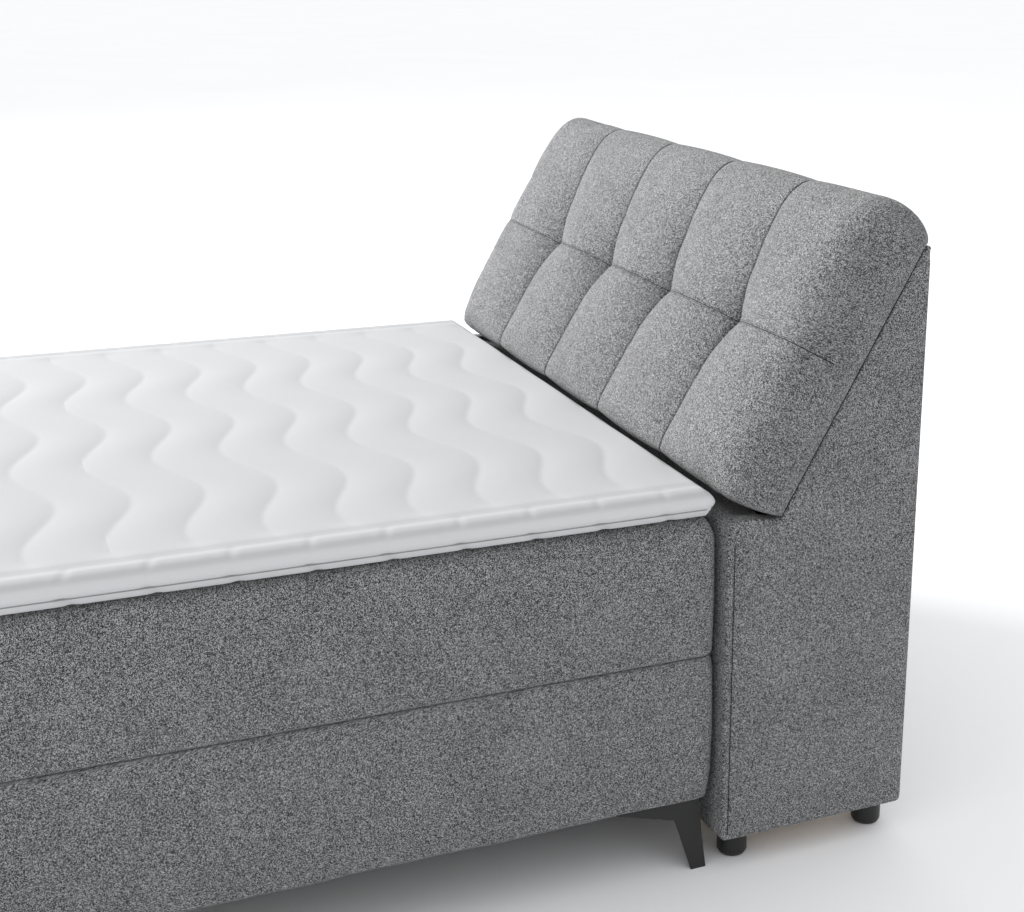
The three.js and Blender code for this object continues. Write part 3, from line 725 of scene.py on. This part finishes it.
def filled_face(outline, spacing, rings):
    """A triangulated face inside an outline, dense near its edge. Returns points and triangles."""
    seeds = [outline]
    for inset in rings:
        moved = inset_outline(outline, inset)
        seeds.append(moved[distance_to(outline, moved) > inset * 0.85])
    low, high = outline.min(axis=0), outline.max(axis=0)
    grid = np.stack(np.meshgrid(np.arange(low[0], high[0], spacing),
                                np.arange(low[1], high[1], spacing)), axis=-1).reshape(-1, 2)
    seeds.append(grid[distance_to(outline, grid) > rings[-1] + spacing * 0.4])
    points = np.concatenate(seeds)
    edges = [(i, (i + 1) % len(outline)) for i in range(len(outline))]
    result = delaunay_2d_cdt([Vector(p) for p in points], edges, [list(range(len(outline)))], 1, 1e-6)
    return np.array([tuple(v) for v in result[0]]), [list(f) for f in result[2]]


def upholstered_panel(name, outline, inner, outer, crown, edge_radius, groove=None):
    """A board wrapped in fabric: a flat inner face, a soft outer one, and a rounded edge.

    The outline is in the side view, and inner and outer are places across the bed."""
    sign = 1 if outer > inner else -1
    points, triangles = filled_face(outline, spacing=0.02, rings=(0.0015, 0.004, 0.007, 0.011, 0.016))
    distance = distance_to(outline, points)
    drop = edge_radius * (1 - np.sqrt(np.clip(1 - (1 - distance / edge_radius).clip(0) ** 2, 0, 1)))
    lift = crown * smoothstep(distance, 0, 0.09)
    if groove is not None:
        drop = drop + groove(points)
    face = np.column_stack([outer + sign * (lift - drop), points])
    flat = np.column_stack([np.full(len(points), inner), points])
    rim = np.stack([np.column_stack([np.full(len(outline) + 1, x), np.concatenate([outline, outline[:1]])])
                    for x in (inner, outer - sign * edge_radius)])
    uvs = points[np.array(triangles).ravel()]
    parts = [(face, triangles, uvs), (flat, triangles, uvs), (rim.reshape(-1, 3), *grid_faces(rim))]
    ob = make_object(name, *merge(parts), sharp_angle=70)
    return dress(ob, WEAVE)


SLOPE = math.atan2(0.2514, 0.432)
LEDGE = (0.092, 0.618)


def on_slope(along, out):
    """A place on the backrest's slope: up it from the ledge, and out towards the bed."""
    back = LEDGE[0] + along * math.sin(SLOPE) - out * math.cos(SLOPE)
    up = LEDGE[1] + along * math.cos(SLOPE) + out * math.sin(SLOPE)
    return headboard_point(back, up)


def side_outline():
    top = SIDE_HIGH.z
    depth = HEADBOARD_REAR - HEADBOARD_FRONT
    slope_length = (top - LEDGE[1]) / math.cos(SLOPE)
    corners = [
        (headboard_point(0, SIDE_LOW.z), 0.012), (headboard_point(depth, SIDE_LOW.z), 0.012),
        (headboard_point(depth, top), 0.022), (on_slope(slope_length, 0), 0.012),
        (headboard_point(*LEDGE), 0.008), (headboard_point(0.061, 0.6225), 0.02),
        (headboard_point(0.025, 0.6255), 0.02), (headboard_point(0.004, 0.616), 0.012),
        (headboard_point(0, 0.596), 0.02)]
    return rounded_outline([c for c, _ in corners], [r for _, r in corners])


SIDE_SEAM_BACK = 0.011
# rise, top and radius of the dark line in the side seam, a painted shadow
SIDE_SEAM_RISE = 0.012
SIDE_SEAM_TOP = 0.585
SIDE_SEAM_SHADOW_RADIUS = 0.0007
SIDE_GROOVE_WIDTH = 0.0022
SIDE_GROOVE_DEPTH = 0.0012
PANEL_GAP = 0.0003


def painted_shadow_lines(name, lines, radius):
    """Thin dark lines laid in folded seams, as one piece: painted shadow."""
    ob = make_object(name, *merge([closed_loft(tube(line, radius), [0, 2]) for line in lines]))
    return dress(ob, SEAM_SHADOW)


def make_headboard_sides():
    outline = side_outline()
    seam = HEADBOARD_FRONT + SIDE_SEAM_BACK

    def groove(points):
        near = np.exp(-((points[:, 0] - seam) / SIDE_GROOVE_WIDTH) ** 2)
        return SIDE_GROOVE_DEPTH * near * smoothstep(points[:, 1], 0.62, 0.58)

    for side, sign in (("left", -1), ("right", 1)):
        ob = upholstered_panel(f"headboard_side_cover_{side}", outline, sign * SIDE_INSIDE,
                               sign * HALF_HEADBOARD, crown=0.0020, edge_radius=0.006, groove=groove)
        # painted shadow: a dark line laid in the side seam's fold
        x = sign * (HALF_HEADBOARD + 0.0003)
        heights = np.linspace(SIDE_LOW.z + SIDE_SEAM_RISE, SIDE_SEAM_TOP, 40)
        line = np.array([(x, seam, z) for z in heights])
        seam_piece = painted_shadow_lines(f"headboard_side_seam_shadow_{side}", [line], SIDE_SEAM_SHADOW_RADIUS)
        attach(seam_piece, "root")
        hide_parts(f"headboard_side_{side}")
        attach(ob, "root")


def across_bed(name, outline, half, end_radius):
    """An outline swept across the bed, with softened ends."""
    turn = np.linspace(0, math.pi / 2, 4)
    ends = [(half - end_radius + end_radius * math.sin(a), end_radius * (1 - math.cos(a))) for a in turn]
    rows = [(-x, inset) for x, inset in ends[::-1]]
    rows += [(x, 0.0) for x in stations(end_radius - half, half - end_radius, 0.06)[1:-1]] + ends
    rings = [np.column_stack([np.full(len(outline), x), inset_outline(outline, inset)]) for x, inset in rows]
    ob = make_object(name, *closed_loft(np.array(rings), [1, 2]), sharp_angle=60)
    return dress(ob, WEAVE)


def make_headboard_front():
    bottom = SIDE_LOW.z
    corners = [
        ((0, bottom), 0.004), ((0.018, bottom), 0.004), ((0.018, 0.585), 0.004), ((0.028, 0.600), 0.006),
        ((0.055, 0.594), 0.008), ((0.084, 0.590), 0.003), ((0.092, 0.604), 0.003), ((0.061, 0.613), 0.02),
        ((0.025, 0.620), 0.02), ((0.003, 0.613), 0.012), ((0, 0.596), 0.02)]
    outline = rounded_outline([headboard_point(*c) for c, _ in corners], [r for _, r in corners])
    ob = across_bed("headboard_front_cover", outline, SIDE_INSIDE - PANEL_GAP, end_radius=0.003)
    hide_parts("headboard_front")
    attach(ob, "root")


def make_headboard_back():
    low, high = BACK_LOW, BACK_HIGH
    outline = rounded_outline(
        [(low.y, low.z), (high.y + 0.001, low.z), (high.y + 0.001, high.z - 0.0005),
         (high.y - 0.0035, high.z - 0.0005), (low.y, high.z - 0.024)],
        [0.004, 0.006, 0.002, 0.001, 0.004])
    ob = across_bed("headboard_back_cover", outline, SIDE_INSIDE - PANEL_GAP, end_radius=0.004)
    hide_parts("headboard_back")
    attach(ob, "root")


# -------------------------------- backrest cushion

BACKREST_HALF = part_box("backrest_cushion")[1].x
CHANNELS = 5
CHANNEL_WIDTH = 2 * BACKREST_HALF / CHANNELS
CROSS_SEAM = 0.262
CROSS_SEAM_DEPTH = 0.0045
CROSS_SEAM_WIDTH = 0.011
CREASE_WIDTH = 0.006
END_ROUND = 0.080
FAR_END_ROUND = 0.050
END_POWER = 2.7
PINNED_BELOW = 0.45
TOP_TILT = 0.008  # how far the top edge sits higher at the left end and lower at the right
SEAM_FROM_OUT, SEAM_TO_ALONG = 0.075, 0.546  # where seams begin and end
STITCH_OFFSET = 0.0025
# radius of the dark lines in the backrest's seams, a painted shadow
BACKREST_SEAM_SHADOW_RADIUS = 0.0009
BASE_SHADOW_LINE = (0.004, 0.495, 60)  # from, to and places of the painted shadow line along each end's base
BASE_OUT, BASE_BESIDE = 0.0012, 0.0006
PRESSURE, SIMULATED_FRAMES, MOVE_LIMIT = 4.0, 20, 0.008
END_BULGE = 0.012

# Section along the crest of a channel, up the slope and out from it, and how deep a seam lies there
CREST_LINE = np.array([
    (0.006, 0.0005, 0.000), (0.006, 0.020, 0.000), (0.003, 0.045, 0.001), (-0.002, 0.070, 0.002),
    (-0.008, 0.089, 0.003), (-0.005, 0.100, 0.005), (0.012, 0.110, 0.009), (0.045, 0.117, 0.014),
    (0.085, 0.1215, 0.019), (0.140, 0.124, 0.023), (0.200, 0.124, 0.030), (0.240, 0.123, 0.043),
    (0.262, 0.122, 0.052), (0.284, 0.123, 0.043), (0.320, 0.124, 0.029), (0.370, 0.125, 0.021),
    (0.420, 0.125, 0.015), (0.460, 0.122, 0.011), (0.492, 0.117, 0.008), (0.516, 0.109, 0.006),
    (0.535, 0.097, 0.005), (0.547, 0.082, 0.004), (0.553, 0.065, 0.004), (0.552, 0.047, 0.003),
    (0.546, 0.029, 0.002), (0.538, 0.012, 0.001), (0.528, 0.000, 0.000), (0.516, -0.003, 0.000),
    (0.507, 0.001, 0.000)])
BACK_LINE = np.array([(along, 0.0005) for along in np.linspace(0.490, 0.03, 14)])


def resampled(line, spacing_at):
    """A line through the given places, with the spacing that a function of the place asks for."""
    lengths = np.concatenate([[0], np.cumsum(np.linalg.norm(np.diff(line[:, :2], axis=0), axis=1))])
    fine = np.linspace(0, lengths[-1], 2000)
    smooth = np.column_stack([catmull(lengths, line[:, k], fine) for k in range(line.shape[1])])
    density = 1 / spacing_at(smooth)
    cumulative = np.concatenate([[0], np.cumsum((density[1:] + density[:-1]) / 2 * np.diff(fine))])
    count = int(cumulative[-1]) + 1
    wanted = np.linspace(0, cumulative[-1], count)
    return np.column_stack([np.interp(wanted, cumulative, smooth[:, k]) for k in range(line.shape[1])])


def catmull(at, values, wanted):
    """Cubic interpolation through values, with slopes from the neighbours on both sides."""
    slopes = np.gradient(values, at)
    i = np.clip(np.searchsorted(at, wanted) - 1, 0, len(at) - 2)
    h = at[i + 1] - at[i]
    t = (wanted - at[i]) / h
    return ((1 + 2 * t) * (1 - t) ** 2 * values[i] + t * (1 - t) ** 2 * h * slopes[i]
            + t * t * (3 - 2 * t) * values[i + 1] + t * t * (t - 1) * h * slopes[i + 1])


def backrest_columns():
    """Places across the cushion, close together at its ends and beside each seam."""
    turn = np.linspace(0.12, math.pi / 2, 9)
    end = END_ROUND * (1 - np.cos(turn))
    seams = [(k - CHANNELS / 2) * CHANNEL_WIDTH for k in range(1, CHANNELS)]
    places = set(np.round(np.concatenate([end - BACKREST_HALF, BACKREST_HALF - end]), 6))
    for seam in seams:
        places |= {round(seam + d, 6) for d in (-0.026, -0.016, -0.0095, -0.0055, -0.0025, 0,
                                                 0.0025, 0.0055, 0.0095, 0.016, 0.026)}
    for x in stations(END_ROUND - BACKREST_HALF, BACKREST_HALF - END_ROUND, 0.0125):
        if min(abs(x - seam) for seam in seams) > 0.032:
            places.add(round(float(x), 6))
    places = sorted(places)
    kept = [places[0]]
    for x in places[1:]:
        if x - kept[-1] > 0.0012:
            kept.append(x)
    return np.array(kept), seams


def backrest_rings():
    """Rings of the cushion across the bed, and the pins that hold its seams."""
    columns, seams = backrest_columns()
    front = resampled(CREST_LINE, lambda p: np.where(
        np.abs(p[:, 0] - CROSS_SEAM) < 0.02, 0.0028, np.where(p[:, 0] > 0.5, 0.0065, 0.0105)))
    cross = int(np.argmin(np.abs(front[:, 0] - CROSS_SEAM) + (front[:, 1] < 0.05)))
    along, out, seam_depth = front.T
    ahead = unit(np.gradient(front[:, :2], axis=0))
    outward = np.stack([-ahead[:, 1], ahead[:, 0]], axis=1)
    core = np.column_stack([np.clip(along, 0.006, 0.503), np.full(len(front), 0.0005)])
    cross_valley = CROSS_SEAM_DEPTH * np.exp(-np.abs(along - CROSS_SEAM) / CROSS_SEAM_WIDTH) * (out > 0.05)
    rings, pins = [], []
    for x in columns:
        rounding = END_ROUND if x > 0 else FAR_END_ROUND
        from_end = min(BACKREST_HALF - abs(x), rounding)
        full = (1 - (1 - from_end / rounding) ** END_POWER) ** (1 / END_POWER)
        nearest = min(seams, key=lambda seam: abs(x - seam))
        share = min(1.0, 2 * abs(x - nearest) / CHANNEL_WIDTH)
        crease = math.exp(-abs(x - nearest) / CREASE_WIDTH)
        sink = seam_depth * (0.90 * (1 - share) ** 2.2 + 0.22 * crease) + cross_valley * min(1.0, share * 4)
        surface = front[:, :2] - outward * sink[:, None]
        surface[:, 0] -= TOP_TILT * x / BACKREST_HALF * smoothstep(along, 0.3, 0.55)
        shrunk = core + full * (surface - core)
        shrunk[:, 1] += 0.0012 * (1 - full)
        section = np.concatenate([shrunk, BACK_LINE])
        places = np.array([on_slope(a, o) for a, o in section])
        raised = np.clip(section[:, 1] / 0.11, 0, 1)
        bulge = END_BULGE * (1 - from_end / rounding) * np.sin(math.pi * raised ** 0.8)
        rings.append(np.column_stack([x + math.copysign(1, x) * bulge, places]))
        pinned = np.zeros(len(places))
        pinned[len(front) - 1:] = 1
        pinned[[0, cross]] = 1
        if abs(x - nearest) < 1e-4 or full < PINNED_BELOW:
            pinned[:] = 1
        pins.append(pinned)
    return np.array(rings), np.array(pins), columns, seams, front, cross


def inflate(ob, pins, pressure, frames, cap):
    """Swells a pinned piece with cloth under pressure, and caps how far each point has moved."""
    before = np.array([v.co for v in ob.data.vertices])
    group = ob.vertex_groups.new(name="pins")
    group.add([int(i) for i in np.flatnonzero(pins > 0.5)], 1.0, "REPLACE")
    cloth = ob.modifiers.new("cloth", "CLOTH")
    settings = cloth.settings
    settings.quality = 6
    settings.mass = 0.3
    settings.tension_stiffness = settings.compression_stiffness = 12
    settings.shear_stiffness = 6
    settings.bending_stiffness = 0.4
    settings.use_pressure = True
    settings.uniform_pressure_force = pressure
    settings.vertex_group_mass = "pins"
    settings.effector_weights.gravity = 0
    cloth.collision_settings.use_collision = False
    scene = bpy.context.scene
    scene.frame_start, scene.frame_end = 1, frames
    cloth.point_cache.frame_start, cloth.point_cache.frame_end = 1, frames
    for number in range(1, frames + 1):
        scene.frame_set(number)
    evaluated = ob.evaluated_get(bpy.context.evaluated_depsgraph_get())
    after = np.array([v.co for v in evaluated.data.vertices])
    ob.modifiers.remove(cloth)
    ob.vertex_groups.clear()
    move = after - before
    length = np.linalg.norm(move, axis=1, keepdims=True)
    move *= np.minimum(1, cap / np.maximum(length, 1e-9))
    ob.data.vertices.foreach_set("co", (before + move).astype(np.float32).ravel())
    ob.data.update()
    scene.frame_set(1)


def stitch_run(places, normals, pitch=0.0058, length=0.0042, radius=0.0005):
    """Dashes of thread along a line of places, half sunk into the fabric."""
    lengths = np.concatenate([[0], np.cumsum(np.linalg.norm(np.diff(places, axis=0), axis=1))])
    parts = []
    for start in np.arange(pitch, lengths[-1] - pitch, pitch):
        at = start + np.array([0, 0.2, 0.5, 0.8, 1]) * length
        path = np.column_stack([np.interp(at, lengths, places[:, k]) for k in range(3)])
        lift = np.column_stack([np.interp(at, lengths, normals[:, k]) for k in range(3)])
        path += lift * (np.array([-1.0, 0.35, 0.6, 0.35, -1.0]) * radius)[:, None]
        parts.append(closed_loft(tube(path, radius, 5), [0, 2]))
    return parts


def grid_normals(points):
    """Unit normals of a grid of points."""
    across = np.gradient(points, axis=0)
    along = np.gradient(points, axis=1)
    normal = np.cross(across, along)
    normal /= np.maximum(np.linalg.norm(normal, axis=2, keepdims=True), 1e-9)
    return normal


def column_at(columns, x):
    """Number of the column nearest to a place across the bed."""
    return int(np.argmin(np.abs(columns - x)))


def stitch_backrest(surface, columns, seams, rows, cross):
    """Two runs of stitching beside each seam and beside the cross seam."""
    normals = grid_normals(surface)
    middle = len(surface) // 2
    outward = surface[middle, cross] - np.array([0, HEADBOARD_REAR, 0.4])
    if normals[middle, cross] @ outward < 0:
        normals = -normals
    parts = []
    for seam in seams:
        for offset in (-STITCH_OFFSET, STITCH_OFFSET):
            column = column_at(columns, seam + offset)
            parts += stitch_run(surface[column, rows], normals[column, rows])
    for row in (cross - 1, cross + 1):
        parts += stitch_run(surface[6:-6, row], normals[6:-6, row])
    seam_piece = make_object("backrest_stitching", *merge(parts))
    dress(seam_piece, THREAD)
    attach(seam_piece, "headboard_lid")


def line_backrest(surface, columns, seams, rows, cross):
    """Dark lines in the seams, and where the cushion's ends meet the side panels: painted shadow."""
    lines = [surface[column_at(columns, seam), rows] for seam in seams]
    lines.append(surface[1:-1, cross])
    base = [on_slope(up, BASE_OUT) for up in np.linspace(*BASE_SHADOW_LINE)]
    for side in (-1, 1):
        lines.append(np.column_stack([np.full(len(base), side * (BACKREST_HALF + BASE_BESIDE)), base]))
    crease_shadows = painted_shadow_lines("backrest_seams", lines, BACKREST_SEAM_SHADOW_RADIUS)
    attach(crease_shadows, "headboard_lid")


def make_backrest():
    rings, pins, columns, seams, front, cross = backrest_rings()
    ob = make_object("backrest", *closed_loft(rings, [1, 2]), sharp_angle=80)
    dress(ob, WEAVE)
    inflate(ob, pins.ravel(), PRESSURE, SIMULATED_FRAMES, MOVE_LIMIT)
    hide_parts("backrest_cushion")
    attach(ob, "headboard_lid")
    points = np.array([v.co for v in ob.data.vertices]).reshape(*rings.shape[:2], 3)
    surface = points[:, :len(front)]
    rows = slice(int(np.argmax(front[:, 1] > SEAM_FROM_OUT)), int(np.argmax(front[:, 0] > SEAM_TO_ALONG)))
    line_backrest(surface, columns, seams, rows, cross)
    stitch_backrest(surface, columns, seams, rows, cross)


# -------------------------------- CAD parts that stay


def dress_cad_parts():
    """Gives every CAD node that stays the finish of its slot."""
    for ob in frame["nodes"].values():
        slot = ob.data.materials[0].name.split(".")[0]
        if slot in CAD_MATERIALS:
            ob.data.materials.clear()
            ob.data.materials.append(CAD_MATERIALS[slot])


# -------------------------------- studio


FLOOR_HALF = 150
KEY_LIGHT = {"place": (-6.4, -6.3, 3.5), "target": (0, 0.9, 0.8), "size": 3.8, "power": 1500}


def area_light(name, place, target, size, power):
    data = bpy.data.lights.new(name, "AREA")
    data.shape = "SQUARE"
    data.size = size
    data.energy = power
    ob = bpy.data.objects.new(name, data)
    ob.location = place
    ob.rotation_euler = (Vector(target) - Vector(place)).to_track_quat("-Z", "Y").to_euler()
    bpy.context.scene.collection.objects.link(ob)


def make_studio():
    shader = Shader("studio_floor")
    cloud = shader.noise(shader.coordinates("Object", (0.5, 0.5, 0.5)), 1.0, 2.0)
    color = shader.ramp(cloud, (0.3, grey(249)), (0.7, grey(251)))
    material = shader.finish(Base_Color=color, Roughness=0.9)
    mesh = bpy.data.meshes.new("floor")
    corners = [(x * FLOOR_HALF, y * FLOOR_HALF, 0) for x, y in ((-1, -1), (1, -1), (1, 1), (-1, 1))]
    mesh.from_pydata(corners, [], [(0, 1, 2, 3)])
    mesh.materials.append(material)
    floor = bpy.data.objects.new("floor", mesh)
    bpy.context.scene.collection.objects.link(floor)

    world = bpy.data.worlds.new("studio")
    world.use_nodes = True
    background = world.node_tree.nodes["Background"]
    background.inputs["Color"].default_value = (1, 1, 1, 1)
    background.inputs["Strength"].default_value = 1.0
    bpy.context.scene.world = world
    bpy.context.scene.view_settings.view_transform = "Standard"
    area_light("key", **KEY_LIGHT)


def make_camera():
    """The camera stands off the bed's right-hand side, above it, and looks across to the headboard."""
    yaw, pitch, roll = (math.radians(a) for a in (23.6912, 14.6625, 0.5129))
    ahead = Vector((-math.cos(yaw) * math.cos(pitch), math.sin(yaw) * math.cos(pitch), -math.sin(pitch)))
    right = Vector((math.sin(yaw), math.cos(yaw), 0))
    above = right.cross(ahead)
    x_axis = right * math.cos(roll) + above * math.sin(roll)
    y_axis = above * math.cos(roll) - right * math.sin(roll)
    data = bpy.data.cameras.new("camera")
    data.sensor_width = 36
    data.lens = 54.69
    data.shift_x, data.shift_y = -0.116, -0.0739
    data.clip_end = 500
    ob = bpy.data.objects.new("camera", data)
    rotation = Matrix((x_axis, y_axis, -ahead)).transposed()
    ob.matrix_world = Matrix.Translation((2.7951, -0.2593, 1.4709)) @ rotation.to_4x4()
    bpy.context.scene.collection.objects.link(ob)
    bpy.context.scene.camera = ob


make_camera()
make_studio()
make_box_upholstery()
make_mattress()
make_topper()
make_headboard_sides()
make_headboard_front()
make_headboard_back()
make_backrest()
dress_cad_parts()
